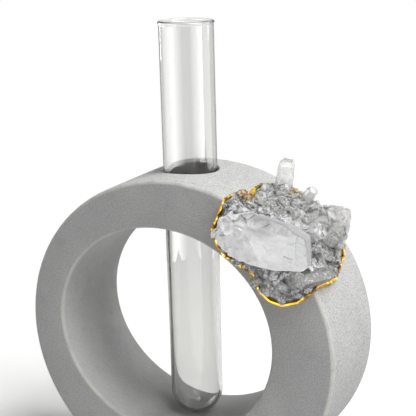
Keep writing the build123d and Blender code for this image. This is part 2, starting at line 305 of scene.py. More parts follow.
class VaseSettings(bpy.types.PropertyGroup):
    """All settings of the vase."""

    concrete: PointerProperty(type=ConcreteSettings)
    glass: PointerProperty(type=GlassSettings)
    crystal: PointerProperty(type=CrystalSettings)
    gilding: PointerProperty(type=GildingSettings)
    adhesive: PointerProperty(type=AdhesiveSettings)
    studio: PointerProperty(type=StudioSettings)


# Values


def rgba(value):
    """A setting's colour with full alpha."""
    return (*value, 1.0)


def metres(values):
    """Lengths that are given in millimetres, such as the three of a place."""
    return [value * MM for value in values]


# Node trees


class Tree:
    """A node tree under construction, with short calls for what is used most."""

    def __init__(self, data):
        self.data = data

    def node(self, kind, inputs=None, **options):
        """A new node. Inputs are values or sockets, by name or number."""
        made = self.data.nodes.new(kind)
        for name, value in options.items():
            setattr(made, name, value)
        for name, value in (inputs or {}).items():
            if isinstance(value, bpy.types.NodeSocket):
                self.data.links.new(value, made.inputs[name])
            else:
                made.inputs[name].default_value = value
        return made

    def result(self, kind, inputs=None, **options):
        """The first output of a new node."""
        return self.node(kind, inputs, **options).outputs[0]

    def math(self, operation, first, second=0.0, third=0.0):
        """One step of arithmetic on numbers."""
        inputs = {0: first, 1: second, 2: third}
        return self.result("ShaderNodeMath", inputs, operation=operation)

    def times(self, first, second):
        """The product of two numbers."""
        return self.math("MULTIPLY", first, second)

    def times_plus(self, first, second, third):
        """The product of two numbers and a third one added to it."""
        return self.math("MULTIPLY_ADD", first, second, third)

    def minus(self, first, second):
        """The difference of two numbers."""
        return self.math("SUBTRACT", first, second)

    def most(self, first, second):
        """The larger of two numbers."""
        return self.math("MAXIMUM", first, second)

    def vector(self, operation, first, second=(0.0, 0.0, 0.0)):
        """One step of arithmetic on vectors. Those that measure them give a number."""
        made = self.node("ShaderNodeVectorMath", {0: first, 1: second}, operation=operation)
        measured = operation in ("DISTANCE", "DOT_PRODUCT", "LENGTH")
        return made.outputs["Value" if measured else "Vector"]

    def combine(self, x, y, z):
        """A vector made from its three parts."""
        return self.result("ShaderNodeCombineXYZ", {0: x, 1: y, 2: z})

    def part(self, vector, axis):
        """One part of a vector: 0 across, 1 in depth or 2 up."""
        return self.node("ShaderNodeSeparateXYZ", {0: vector}).outputs[axis]

    def noise(self, vector, scale, detail=3.0, roughness=0.5, distortion=0.0):
        """Cloudy noise from 0 to 1."""
        inputs = {"Vector": vector, "Scale": scale, "Detail": detail}
        inputs |= {"Roughness": roughness, "Distortion": distortion}
        return self.result("ShaderNodeTexNoise", inputs)

    def cells(self, vector, scale):
        """What is known of the nearest of many scattered points, such as its distance."""
        return self.node("ShaderNodeTexVoronoi", {"Vector": vector, "Scale": scale}).outputs

    def span(self, value, low, high, to_low=0.0, to_high=1.0):
        """The value stretched from one range to another, and held inside it."""
        inputs = {"Value": value, "From Min": low, "From Max": high}
        inputs |= {"To Min": to_low, "To Max": to_high}
        return self.result("ShaderNodeMapRange", inputs)

    def near(self, place, centre, reach, shares, levels):
        """A value that goes from one level to another between two shares of a centre's reach."""
        inner, outer = (self.times(reach, share) for share in shares)
        return self.span(self.vector("DISTANCE", place, centre), inner, outer, *levels)

    def blend(self, factor, first, second):
        """Two colours mixed."""
        inputs = {0: factor, 6: first, 7: second}
        return self.node("ShaderNodeMix", inputs, data_type="RGBA").outputs[2]

    def bump(self, height, distance, strength=1.0):
        """A normal that is tilted by a height."""
        inputs = {"Strength": strength, "Distance": distance, "Height": height}
        return self.result("ShaderNodeBump", inputs)

    def mixed(self, factor, first, second):
        """Two shaders mixed."""
        inputs = {0: factor, 1: first, 2: second}
        return self.result("ShaderNodeMixShader", inputs)


def new_group(name, kind, inputs, outputs):
    """An empty node group with named sockets: its tree, and what its inputs bring.

    Each socket is a name and a kind, and an input may have its value too.
    """
    group = bpy.data.node_groups.new(name, kind)
    for way, sockets in (("INPUT", inputs), ("OUTPUT", outputs)):
        for label, sort, *value in sockets:
            socket = group.interface.new_socket(label, in_out=way, socket_type="NodeSocket" + sort)
            if value:
                socket.default_value = value[0]
    tree = Tree(group)
    return tree, tree.node("NodeGroupInput").outputs


def shared(name, build):
    """The named node group, built the first time that it is asked for."""
    return bpy.data.node_groups.get(name) or build(name)


# Effects


def effect_group(name, inputs):
    """An empty shader group for a surface effect."""
    outputs = [("Color", "Color"), ("Roughness", "Float"), ("Height", "Float")]
    return new_group(name, "ShaderNodeTree", [("Vector", "Vector"), *inputs], outputs)


def finish_effect(tree, color, roughness, height):
    """Gives an effect its colour, roughness and height, and returns its group."""
    tree.node("NodeGroupOutput", {"Color": color, "Roughness": roughness, "Height": height})
    return tree.data


def concrete_effect(name):
    """Mottled cement with sand grains, fine pores, and a painted highlight on the rounded edges,
    patchy like rubbed wear.
    """
    tree, given = effect_group(
        name,
        [
            ("Tone", "Color"), ("Pale", "Color"), ("Dark", "Color"), ("Worn", "Color"),
            ("Mottle scale", "Float", 60.0), ("Grain scale", "Float", 1800.0), ("Core", "Vector"),
        ],
    )
    where = given["Vector"]
    broad = tree.noise(where, given["Mottle scale"])
    close = tree.noise(where, tree.times(given["Mottle scale"], 4.7), detail=4.0)
    grain = tree.noise(where, given["Grain scale"], detail=2.0, roughness=0.7)
    pore_scale = tree.times(given["Grain scale"], 0.22)
    pores = tree.span(tree.cells(where, pore_scale)["Distance"], 0.05, 0.16, 1.0, 0.0)
    chosen = tree.span(tree.noise(where, tree.times(pore_scale, 0.5)), 0.55, 0.62)
    pores = tree.times(pores, chosen)
    paled = tree.blend(tree.span(broad, 0.45, 0.75, 0.0, 0.5), given["Tone"], given["Pale"])
    shaded = tree.blend(tree.span(close, 0.55, 0.8, 0.0, 0.35), paled, given["Dark"])

    # The sand shows most on the outer wall, less on the two faces and least in the opening
    normal = tree.node("ShaderNodeNewGeometry").outputs["Normal"]
    slant = tree.math("ABSOLUTE", tree.part(normal, 1))
    outward = tree.vector("DOT_PRODUCT", tree.vector("SUBTRACT", where, given["Core"]), normal)
    outside = tree.span(outward, -0.01, 0.0, 0.35, 1.0)
    coarse = tree.times(tree.span(slant, 0.2, 0.8, 0.9, 0.6), outside)
    sand = tree.times(tree.span(grain, 0.5, 0.62), coarse)
    lime = tree.times(tree.span(grain, 0.47, 0.36), coarse)
    lit = tree.blend(lime, tree.blend(sand, shaded, given["Dark"]), given["Pale"])
    pitted = tree.blend(tree.times(pores, 0.5), lit, given["Dark"])

    # The rounded edges slant between the faces and the walls, and get a painted highlight there,
    # patchy like rubbed wear
    edge = tree.times(tree.span(slant, 0.12, 0.3), tree.span(slant, 0.9, 0.99, 1.0, 0.0))
    edge_highlight = tree.times(edge, tree.span(close, 0.35, 0.6, 0.1, 0.6))
    relief = tree.times_plus(grain, 0.5, tree.times(close, 0.7))
    return finish_effect(
        tree,
        tree.blend(edge_highlight, pitted, given["Worn"]),
        tree.span(close, 0.3, 0.7, 0.74, 0.92),
        tree.minus(relief, tree.times(pores, 0.9)),
    )


def veil_effect(name):
    """Clouds, grey patches with painted shade, painted shade on faces that look one way, white
    veils and etched hollows in and on rock crystal.
    """
    tree, given = effect_group(
        name,
        [
            ("Body", "Color"), ("Shade", "Color"), ("Veil", "Color"),
            ("Cloud scale", "Float", 200.0), ("Shade share", "Float", 0.5),
            ("Veil scale", "Float", 400.0), ("Veil share", "Float", 0.5),
            ("Etch scale", "Float", 1500.0), ("Smoothest", "Float", 0.04),
            ("Grey way", "Vector"), ("Grey share", "Float", 0.0),
            ("Deep centre", "Vector"), ("Deep reach", "Float", 0.0),
            ("Pale centre", "Vector"), ("Pale reach", "Float", 0.0),
            ("Calm centre", "Vector"), ("Calm reach", "Float", 1e-6),
        ],
    )
    where = given["Vector"]
    cloud = tree.noise(where, given["Cloud scale"], detail=5.0, roughness=0.6, distortion=0.8)
    calm = given["Calm centre"], given["Calm reach"]
    stir = tree.near(where, *calm, (1.0, 1.4), (0.15, 1.0))

    def patch(kind):
        centre, reach = given[f"{kind} centre"], given[f"{kind} reach"]
        apart = tree.times_plus(cloud, reach, tree.vector("DISTANCE", where, centre))
        inner, outer = (tree.times(reach, share) for share in (0.9, 1.5))
        return tree.times(tree.span(apart, inner, outer, 1.0, 0.0), 0.9)

    # Clouds and thin dark seams, away from the calm place
    limit = tree.times_plus(given["Shade share"], -0.36, 0.68)
    shade = tree.span(tree.minus(cloud, limit), -0.05, 0.09)
    seam_scale = tree.times(given["Veil scale"], 0.4)
    seam = tree.minus(tree.noise(where, seam_scale, distortion=1.0), 0.5)
    seam = tree.math("DIVIDE", tree.math("ABSOLUTE", seam), 0.035)
    seam = tree.times(tree.span(seam, 0.0, 1.0, 1.0, 0.0), 0.8)
    shade = tree.times(tree.most(shade, seam), stir)

    # Painted shade on the faces that look one way, towards the lamps, and in the shaded grey place
    normal = tree.node("ShaderNodeNewGeometry").outputs["Normal"]
    facing = tree.vector("DOT_PRODUCT", normal, given["Grey way"])
    turned = tree.times(tree.span(facing, 0.15, 0.6), given["Grey share"])
    painted_shade_and_grey = tree.most(turned, patch("Deep"))
    shade = tree.most(shade, painted_shade_and_grey)

    # White veils along folds, weaker under the painted shade and grey, and full in the pale place,
    # which on the main crystal is partly painted light
    fold = tree.noise(where, given["Veil scale"], detail=4.0, roughness=0.55, distortion=1.5)
    ridge = tree.math("ABSOLUTE", tree.minus(fold, 0.5))
    reach = tree.times(given["Veil share"], 0.1)
    veil = tree.minus(1.0, tree.math("DIVIDE", ridge, reach))
    veil = tree.times(tree.most(veil, 0.0), tree.times(stir, 0.85))
    veil = tree.times(veil, tree.times_plus(painted_shade_and_grey, -0.8, 1.0))
    veil = tree.most(veil, patch("Pale"))

    etch = tree.noise(where, given["Etch scale"], detail=4.0, roughness=0.65)
    roughest = tree.math("ADD", given["Smoothest"], 0.22)
    return finish_effect(
        tree,
        tree.blend(veil, tree.blend(shade, given["Body"], given["Shade"]), given["Veil"]),
        tree.span(etch, 0.4, 0.7, given["Smoothest"], roughest),
        tree.times_plus(etch, 0.25, fold),
    )


def gilt_effect(name):
    """Thin gold that is bright on the swells and brown in the hollows."""
    tree, given = effect_group(
        name,
        [
            ("Gold", "Color"), ("Hollow", "Color"), ("Wear scale", "Float", 900.0),
            ("Bright centre", "Vector"), ("Bright reach", "Float", 1e-6),
        ],
    )
    where = given["Vector"]
    wear = tree.noise(where, given["Wear scale"], detail=5.0, roughness=0.6, distortion=0.5)
    crease = tree.noise(where, tree.times(given["Wear scale"], 3.1))
    worn = tree.most(tree.span(wear, 0.42, 0.54), tree.span(crease, 0.54, 0.64, 0.0, 0.7))
    bright = given["Bright centre"], given["Bright reach"]
    worn = tree.times(worn, tree.near(where, *bright, (1.0, 1.5), (0.15, 1.0)))
    return finish_effect(
        tree,
        tree.blend(worn, given["Gold"], given["Hollow"]),
        tree.span(wear, 0.3, 0.75, 0.26, 0.55),
        tree.times_plus(crease, 0.4, tree.times(wear, 0.6)),
    )


# Materials


def emptied(data):
    """The tree of a material or a world, without its first nodes."""
    data.use_nodes = True
    data.node_tree.nodes.clear()
    return Tree(data.node_tree)


def new_material(name):
    """An empty material, its tree, and the coordinates of the piece that it is on."""
    material = bpy.data.materials.new(name)
    tree = emptied(material)
    return material, tree, tree.node("ShaderNodeTexCoord").outputs["Object"]


def surface_material(name, effect, values, bump, plain):
    """A Principled material whose colour, roughness and relief come from one effect group."""
    material, tree, where = new_material(name)
    drawn = tree.node("ShaderNodeGroup", {"Vector": where, **values}, node_tree=effect).outputs
    inputs = {
        "Base Color": drawn["Color"],
        "Roughness": drawn["Roughness"],
        "Normal": tree.bump(drawn["Height"], bump),
        **plain,
    }
    shader = tree.result("ShaderNodeBsdfPrincipled", inputs)
    tree.node("ShaderNodeOutputMaterial", {"Surface": shader})
    return material


def concrete_material(settings):
    """Smooth cast concrete."""
    values = {
        "Tone": rgba(settings.tone),
        "Pale": rgba(settings.pale),
        "Dark": rgba(settings.dark),
        # Worn is the colour of the painted highlight on the rounded edges
        "Worn": rgba(settings.worn),
        "Mottle scale": 1 / settings.mottle,
        "Grain scale": 1 / settings.grain,
        "Core": metres(RING_MIDDLE),
    }
    effect = shared("cast concrete", concrete_effect)
    plain = {"Specular IOR Level": 0.08}
    return surface_material("cast concrete", effect, values, settings.bump, plain)


def glass_material(settings):
    """Clear laboratory glass, slightly rippled."""
    material, tree, where = new_material("tube glass")
    ripple = tree.noise(where, 45.0, detail=1.0)
    inputs = {
        "Base Color": rgba(settings.tint),
        "Roughness": 0.0,
        "IOR": GLASS_IOR,
        "Transmission Weight": 1.0,
        "Normal": tree.bump(ripple, settings.ripple, strength=0.25),
    }
    shader = tree.result("ShaderNodeBsdfPrincipled", inputs)
    taken = {"Color": rgba(settings.depth), "Density": settings.density}
    depth = tree.result("ShaderNodeVolumeAbsorption", taken)
    tree.node("ShaderNodeOutputMaterial", {"Surface": shader, "Volume": depth})
    return material


def crystal_material(
    name, settings, body, shade, scales, shares, bump, plain, places=(), smoothest=0.04
):
    """Rock crystal.

    The scales are of its clouds, veils and etching, per metre. The shares are of its shade, its
    veils and the painted shade on the faces that look one way. The relief is in millimetres.
    """
    values = {
        "Body": rgba(body),
        "Shade": rgba(shade),
        "Veil": rgba(settings.veil),
        "Cloud scale": scales[0],
        "Veil scale": scales[1],
        "Etch scale": scales[2],
        "Shade share": shares[0],
        "Veil share": shares[1],
        "Smoothest": smoothest,
        "Grey way": PAINTED_SHADE_WAY,
        "Grey share": shares[2],
    }
    for kind, centre, reach in places:
        values[f"{kind} centre"] = metres(centre)
        values[f"{kind} reach"] = reach * MM
    effect = shared("crystal veils", veil_effect)
    return surface_material(name, effect, values, bump * MM, {"IOR": QUARTZ_IOR, **plain})


def milky_material(settings):
    """Cloudy rock crystal that light enters but does not cross."""
    plain = {
        "Specular IOR Level": 0.15,
        "Subsurface Weight": 0.5,
        "Subsurface Radius": (1.0, 1.0, 1.0),
        "Subsurface Scale": 0.8 * MM,
    }
    return crystal_material(
        "milky quartz", settings, settings.milky, settings.milky_shade,
        scales=(190.0, 260.0, 1100.0), shares=(0.4, 0.5, 1.0), bump=0.2, plain=plain,
        places=MILKY_PLACES, smoothest=0.3,
    )


def clear_material(settings):
    """Clear rock crystal with many veils."""
    return crystal_material(
        "clear quartz", settings, settings.clear, settings.clear_shade,
        scales=(230.0, 300.0, 1300.0), shares=(0.45, 0.4, 0.6), bump=0.12,
        plain={"Transmission Weight": 0.5, "Specular IOR Level": 0.25}, places=CLEAR_PLACES,
    )


def glassy_material(name, settings, body, shade, veils, clarity, smoothest):
    """The clearest rock crystal, which shows what is behind it."""
    return crystal_material(
        name, settings, body, shade,
        scales=(160.0, 170.0, 500.0), shares=(0.4, veils, 0.0), bump=0.02,
        plain={"Transmission Weight": clarity, "Specular IOR Level": 0.3}, smoothest=smoothest,
    )


def rock_material(settings):
    """Grey glassy rock with white veins."""
    return crystal_material(
        "smoky quartz", settings, settings.rock, settings.rock_shade,
        scales=(230.0, 330.0, 900.0), shares=(0.6, 0.35, 0.0), bump=0.35,
        plain={"Transmission Weight": 0.5, "Specular IOR Level": 0.4}, places=ROCK_PLACES,
    )


def gold_material(name, settings, gold):
    """Gilding, bright low on the cluster's edge and worn elsewhere."""
    values = {
        "Gold": rgba(gold),
        "Hollow": rgba(settings.hollow),
        "Wear scale": 330.0,
        "Bright centre": metres(BRIGHT_GILDING),
        "Bright reach": 8 * MM,
    }
    effect = shared("thin gold", gilt_effect)
    return surface_material(name, effect, values, settings.bump, {"Metallic": 1.0})


def adhesive_material(settings):
    """Set adhesive, dulled by dust."""
    material, tree, where = new_material("adhesive")
    dust = tree.noise(where, 600.0)
    inputs = {
        "Base Color": tree.blend(dust, rgba(settings.clean), rgba(settings.dust)),
        "Roughness": tree.span(dust, 0.3, 0.7, 0.35, 0.6),
    }
    shader = tree.result("ShaderNodeBsdfPrincipled", inputs)
    tree.node("ShaderNodeOutputMaterial", {"Surface": shader})
    return material


# Geometry trees


def geometry_group(name, inputs):
    """An empty geometry tree that also takes a material."""
    shape = ("Geometry", "Geometry")
    given = [shape, *inputs, ("Material", "Material")]
    return new_group(name, "GeometryNodeTree", given, [shape])


def finish_geometry(tree, geometry, material):
    """Realises instances and sets the material, as every tree here ends, and returns its group."""
    real = tree.result("GeometryNodeRealizeInstances", {0: geometry})
    painted = tree.result("GeometryNodeSetMaterial", {0: real, "Material": material})
    tree.node("NodeGroupOutput", {"Geometry": painted})
    return tree.data


def weather_tree(name):
    """Swells, breaks and etches a fine mesh along its normals, as growth and wear leave it."""
    tree, given = geometry_group(
        name,
        [
            ("Lump size", "Float", 4 * MM), ("Lump depth", "Float", 0.2 * MM),
            ("Grit size", "Float", 1 * MM), ("Grit depth", "Float", 0.05 * MM),
            ("Break size", "Float", 2 * MM), ("Break depth", "Float", 0.1 * MM),
            ("Break tilt", "Float", 0.3), ("Swell", "Float", 0.0), ("Calm centre", "Vector"),
            ("Calm reach", "Float", 0.01 * MM), ("Seed", "Float", 0.0),
        ],
    )
    place = tree.result("GeometryNodeInputPosition")
    normal = tree.result("GeometryNodeInputNormal")
    seed = given["Seed"]
    where = tree.vector("ADD", place, tree.combine(seed, seed, seed))

    def relief(kind):
        scale = tree.math("DIVIDE", 1.0, given[f"{kind} size"])
        level = tree.minus(tree.noise(where, scale, detail=2.0), 0.5)
        return tree.times(level, given[f"{kind} depth"])

    def breaks(share):
        sizes = (given["Break size"], given["Break depth"], given["Break tilt"])
        size, depth, tilt = (tree.times(value, share) for value in sizes)
        cell = tree.cells(where, tree.math("DIVIDE", 1.0, size))
        lean = tree.vector("SUBTRACT", cell["Color"], (0.5, 0.5, 0.5))
        slope = tree.vector("DOT_PRODUCT", lean, tree.vector("SUBTRACT", where, cell["Position"]))
        level = tree.times(tree.part(lean, 0), depth)
        return tree.times_plus(slope, tilt, level)

    total = tree.math("ADD", relief("Lump"), relief("Grit"))
    for share in (1.0, 0.4):
        total = tree.math("ADD", total, breaks(share))
    calm = given["Calm centre"], given["Calm reach"]
    stir = tree.near(place, *calm, (0.55, 1.0), (0.12, 1.0))
    total = tree.times_plus(total, stir, given["Swell"])
    along = tree.result("ShaderNodeVectorMath", {0: normal, "Scale": total}, operation="SCALE")
    offset = {"Geometry": given["Geometry"], "Offset": along}
    moved = tree.result("GeometryNodeSetPosition", offset)
    smooth = tree.result("GeometryNodeSetShadeSmooth", {0: moved})
    return finish_geometry(tree, smooth, given["Material"])


def scatter_tree(name):
    """Stands many copies of a grain on a surface, turned at random about its normals."""
    tree, given = geometry_group(
        name,
        [
            ("Grain", "Object"), ("Spacing", "Float", 1 * MM), ("Density", "Float", 1e6),
            ("Smallest", "Float", 0.4 * MM), ("Largest", "Float", 1.2 * MM),
            ("Tilt", "Float", 0.6), ("Centre", "Vector"), ("Reach", "Float", 10 * MM),
            ("Seed", "Int", 1),
        ],
    )
    seed, tilt = given["Seed"], given["Tilt"]
    place = tree.result("GeometryNodeInputPosition")
    patch = tree.near(place, given["Centre"], given["Reach"], (0.55, 1.0), (1.0, 0.0))
    points = tree.node(
        "GeometryNodeDistributePointsOnFaces",
        {
            "Mesh": given["Geometry"],
            "Distance Min": given["Spacing"],
            "Density Max": given["Density"],
            "Density Factor": patch,
            "Seed": seed,
        },
        distribute_method="POISSON",
    ).outputs
    normal = {"Vector": points["Normal"]}
    upright = tree.result("FunctionNodeAlignRotationToVector", normal, axis="Z")
    back = tree.times(tilt, -1.0)
    least, largest = tree.combine(back, back, 0.0), tree.combine(tilt, tilt, math.tau)
    turns = {0: least, 1: largest, "Seed": seed}
    turn = tree.result("FunctionNodeRandomValue", turns, data_type="FLOAT_VECTOR")
    both = {"Rotation": upright, "Rotate By": turn}
    turned = tree.result("FunctionNodeRotateRotation", both, rotation_space="LOCAL")
    chances = {2: 0.0, 3: 1.0, "Seed": seed}
    chance = tree.node("FunctionNodeRandomValue", chances, data_type="FLOAT").outputs["Value"]
    share = tree.math("POWER", chance, 2.2)
    room = tree.minus(given["Largest"], given["Smallest"])
    grain = tree.node("GeometryNodeObjectInfo", {"Object": given["Grain"]})
    copies = tree.result(
        "GeometryNodeInstanceOnPoints",
        {
            "Points": points["Points"],
            "Instance": grain.outputs["Geometry"],
            "Rotation": turned,
            "Scale": tree.times_plus(share, room, given["Smallest"]),
        },
    )
    return finish_geometry(tree, copies, given["Material"])


# Meshes


@contextmanager
def editing(mesh):
    """A mesh opened for changes, which are written back to it."""
    shape = bmesh.new()
    shape.from_mesh(mesh)
    yield shape
    shape.to_mesh(mesh)
    shape.free()


def new_object(name, data):
    """A named object in the scene, at the origin."""
    thing = bpy.data.objects.new(name, data)
    bpy.context.scene.collection.objects.link(thing)
    return thing


def apply_modifiers(thing):
    """Makes the result of an object's modifiers its plain mesh."""
    thing.update_tag()
    graph = bpy.context.evaluated_depsgraph_get()
    made = bpy.data.meshes.new_from_object(thing.evaluated_get(graph), depsgraph=graph)
    thing.modifiers.clear()
    thing.data = made


def grow(thing, tree, values):
    """Runs a geometry tree on an object and keeps the result as its plain mesh."""
    modifier = thing.modifiers.new(tree.name, "NODES")
    modifier.node_group = tree
    inputs = (item for item in tree.interface.items_tree if item.in_out == "INPUT")
    sockets = {item.name: item.identifier for item in inputs}
    for name, value in values.items():
        modifier[sockets[name]] = value
    apply_modifiers(thing)


def node_copy(name, node):
    """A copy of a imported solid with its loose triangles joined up."""
    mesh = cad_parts[node].data.copy()
    mesh.materials.clear()
    with editing(mesh) as shape:
        bmesh.ops.remove_doubles(shape, verts=shape.verts, dist=WELD)
    return new_object(name, mesh)


def recast(thing, cell, smoothing):
    """Gives a solid an even mesh, with its edges softened by a number of rounds."""
    remesh = thing.modifiers.new("even mesh", "REMESH")
    remesh.mode = "VOXEL"
    remesh.voxel_size = cell
    if smoothing:
        soften = thing.modifiers.new("soft edges", "SMOOTH")
        soften.factor = 0.5
        soften.iterations = smoothing
    apply_modifiers(thing)


def facet(thing, width, material):
    """Keeps the flat faces of a crystal and wears its edges a little."""
    with editing(thing.data) as shape:
        bmesh.ops.dissolve_limit(
            shape, angle_limit=FLAT_ANGLE, verts=shape.verts, edges=shape.edges
        )
    worn = thing.modifiers.new("worn edges", "BEVEL")
    worn.width = width
    worn.segments = 2
    worn.angle_limit = WORN_ANGLE
    apply_modifiers(thing)
    thing.data.materials.clear()
    thing.data.materials.append(material)


def weather(thing, material, seed, lump, grit, crack, tilt, swell=0.0, calm=NOWHERE):
    """Swells and etches a piece, less so near a calm centre.

    The lump, grit and crack are each a size and a depth, and all lengths are in millimetres.
    """
    centre, reach = calm
    values = {
        "Break tilt": tilt,
        "Swell": swell * MM,
        "Calm centre": metres(centre),
        "Calm reach": reach * MM,
        "Seed": float(seed),
        "Material": material,
    }
    for kind, (size, depth) in (("Lump", lump), ("Grit", grit), ("Break", crack)):
        values[f"{kind} size"], values[f"{kind} depth"] = size * MM, depth * MM
    grow(thing, shared("natural surface", weather_tree), values)
    thing.data.set_sharp_from_angle(angle=CRISP_ANGLE)


def settle(thing, body, slot, *nodes):
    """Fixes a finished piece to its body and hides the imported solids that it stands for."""
    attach(thing, body)
    if nodes:
        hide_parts(*nodes)


def scatter(name, slot, surface, grain, material, centre, reach, sizes, spacing, tilt, seed):
    """A new piece made of grains that stand on a patch of a surface, all sizes in millimetres."""
    thing = new_object(name, surface.data.copy())
    smallest, largest = metres(sizes)
    values = {
        "Grain": grain,
        "Spacing": spacing * MM,
        "Density": POINTS_TRIED / (spacing * MM) ** 2,
        "Smallest": smallest,
        "Largest": largest,
        "Tilt": tilt,
        "Centre": metres(centre),
        "Reach": reach * MM,
        "Seed": seed,
        "Material": material,
    }
    grow(thing, shared("grains on a surface", scatter_tree), values)
    settle(thing, STAND, slot)


def circle(radius, height, count):
    """Places evenly round the vertical at a height."""
    turns = (math.tau * number / count for number in range(count))
    return [Vector((radius * math.cos(turn), radius * math.sin(turn), height)) for turn in turns]


def quartz_grain(name, sides=6, shoulder=0.55, top=1.25):
    """A small quartz crystal, one unit wide, that stands on the origin and is sunk below it."""
    mesh = bpy.data.meshes.new(name)
    with editing(mesh) as shape:
        foot, crown = (
            [shape.verts.new(place) for place in circle(radius, height, sides)]
            for height, radius in ((-0.4, 0.42), (shoulder, 0.5))
        )
        tip = shape.verts.new((0.06, 0.03, top))
        for number in range(sides):
            following = (number + 1) % sides
            shape.faces.new((foot[number], foot[following], crown[following], crown[number]))
            shape.faces.new((crown[number], crown[following], tip))
        shape.faces.new(list(reversed(foot)))
    return bpy.data.objects.new(name, mesh)


def nugget_grain(name):
    """A rounded lump of gilding, one unit wide and lower than it is wide."""
    mesh = bpy.data.meshes.new(name)
    with editing(mesh) as shape:
        bmesh.ops.create_icosphere(shape, subdivisions=2, radius=0.5)
        bmesh.ops.scale(shape, verts=shape.verts, vec=(1.0, 0.8, 0.6))
        for face in shape.faces:
            face.smooth = True
    return bpy.data.objects.new(name, mesh)


def arc(across, up, radius, start, end):
    """Points of the tube's section along an arc, from one angle to another."""
    turns = (start + (end - start) * step / ARC_STEPS for step in range(ARC_STEPS + 1))
    return [(across + radius * math.cos(turn), up + radius * math.sin(turn)) for turn in turns]


def tube_profile(radius, height, wall, bead):
    """Half of the tube's section, from its lowest point up the outside and down the inside."""
    quarter = math.pi / 2
    inner = radius - wall
    rim = (wall + bead) / 2
    rim_x, rim_z = inner + rim, height - rim
    start = -math.acos((radius - rim_x) / rim)
    return [
        *arc(0, radius, radius, -quarter, 0),
        # One more ring close under the bead keeps the wall's shading straight all the way up
        (radius, rim_z + rim * math.sin(start) - bead),
        *arc(rim_x, rim_z, rim, start, math.pi),
        *arc(0, radius, inner, 0, -quarter),
    ]


def revolved(name, profile, centre, segments):
    """A closed shell of revolution about the vertical through a point."""
    mesh = bpy.data.meshes.new(name)
    with editing(mesh) as shape:
        rings = []
        for radius, height in profile:
            places = circle(radius, height, 1 if radius < NO_LENGTH else segments)
            rings.append([shape.verts.new(centre + place) for place in places])
        for lower, upper in zip(rings, rings[1:]):
            for number in range(segments):
                following = (number + 1) % segments
                corners = [lower[number % len(lower)], lower[following % len(lower)]]
                corners += [upper[following % len(upper)], upper[number % len(upper)]]
                distinct = list(dict.fromkeys(corners))
                if len(distinct) > 2:
                    shape.faces.new(distinct)
        bmesh.ops.remove_doubles(shape, verts=shape.verts, dist=NO_LENGTH)
        bmesh.ops.recalc_face_normals(shape, faces=shape.faces)
        for face in shape.faces:
            face.smooth = True
    return new_object(name, mesh)


# Studio


def round_the_vase(turn, rise, distance):
    """The place at an angle round to the right of the front, an angle up and a distance."""
    aside = distance * math.cos(rise)
    return Vector((aside * math.sin(turn), -aside * math.cos(turn), distance * math.sin(rise)))


def looked_at(tree):
    """1 for what the camera sees, also by mirror or through glass, and 0 for light on things."""
    path = tree.node("ShaderNodeLightPath").outputs
    through = tree.most(path["Is Glossy Ray"], path["Is Transmission Ray"])
    return tree.most(path["Is Camera Ray"], through)


def floor_material(studio):
    """White floor that keeps the object's shadow near it and fades to plain white further off."""
    material, tree, where = new_material("studio floor")
    paper = tree.result("ShaderNodeBsdfDiffuse", {"Color": rgba(studio.floor)})
    seen_paper = tree.result("ShaderNodeBsdfDiffuse", {"Color": rgba(studio.seen_floor)})
    white = tree.result("ShaderNodeEmission", {"Color": WHITE, "Strength": 1.0})
    looked = looked_at(tree)
    close = tree.mixed(looked, paper, seen_paper)
    faded = tree.span(tree.vector("LENGTH", where), studio.fade_start, studio.fade_end)
    blank = tree.times(faded, looked)
    surface = tree.mixed(blank, close, white)
    tree.node("ShaderNodeOutputMaterial", {"Surface": surface})
    return material


def strip_material(name, width, low, high):
    """A glow that rises from the strip's near side to its far side."""
    material, tree, where = new_material(name)
    level = tree.span(tree.part(where, 0), -width / 2, width / 2, low, high)
    glow = tree.result("ShaderNodeEmission", {"Color": WHITE, "Strength": level})
    tree.node("ShaderNodeOutputMaterial", {"Surface": glow})
    return material


def light_world(ambient):
    """Even light from all sides, with white behind everything that is looked at."""
    world = bpy.data.worlds.new("studio")
    tree = emptied(world)
    glow = tree.result("ShaderNodeBackground", {"Color": WHITE, "Strength": ambient})
    white = tree.result("ShaderNodeBackground", {"Color": WHITE, "Strength": 1.0})
    surface = tree.mixed(looked_at(tree), glow, white)
    tree.node("ShaderNodeOutputWorld", {"Surface": surface})
    bpy.context.scene.world = world


def sheet(name, width, near_edge, far_edge, material):
    """A flat rectangle between two edges, each a place in depth and a height."""
    half = width / 2
    mesh = bpy.data.meshes.new(name)
    corners = [(-half, *near_edge), (half, *near_edge), (half, *far_edge), (-half, *far_edge)]
    mesh.from_pydata(corners, [], [(0, 1, 2, 3)])
    mesh.materials.append(material)
    return new_object(name, mesh)


def strip_light(number, turn, width, low, high, studio):
    """A tall dim strip light that only reflections show, as a studio gives glass its lines."""
    glow = strip_material(f"strip {number}", width, low * studio.strip, high * studio.strip)
    card = sheet(f"strip_{number}", width, (0, 0), (0, studio.strip_height), glow)
    card.location = round_the_vase(turn, 0, studio.strip_distance)
    card.rotation_euler = (0, 0, turn)
    card.visible_camera = False
    card.visible_diffuse = False
    card.visible_transmission = False
    card.visible_shadow = False


def area_lamp(name, turn, rise, watts, studio):
    """A square soft box that looks at the vase."""
    lamp = bpy.data.lights.new(name, "AREA")
    lamp.shape = "SQUARE"
    lamp.size = studio.lamp_width
    lamp.energy = watts
    target = Vector(studio.target)
    thing = new_object(name, lamp)
    thing.location = target + round_the_vase(turn, rise, studio.lamp_distance)
    thing.rotation_mode = "QUATERNION"
    thing.rotation_quaternion = (target - thing.location).to_track_quat("-Z", "Y")


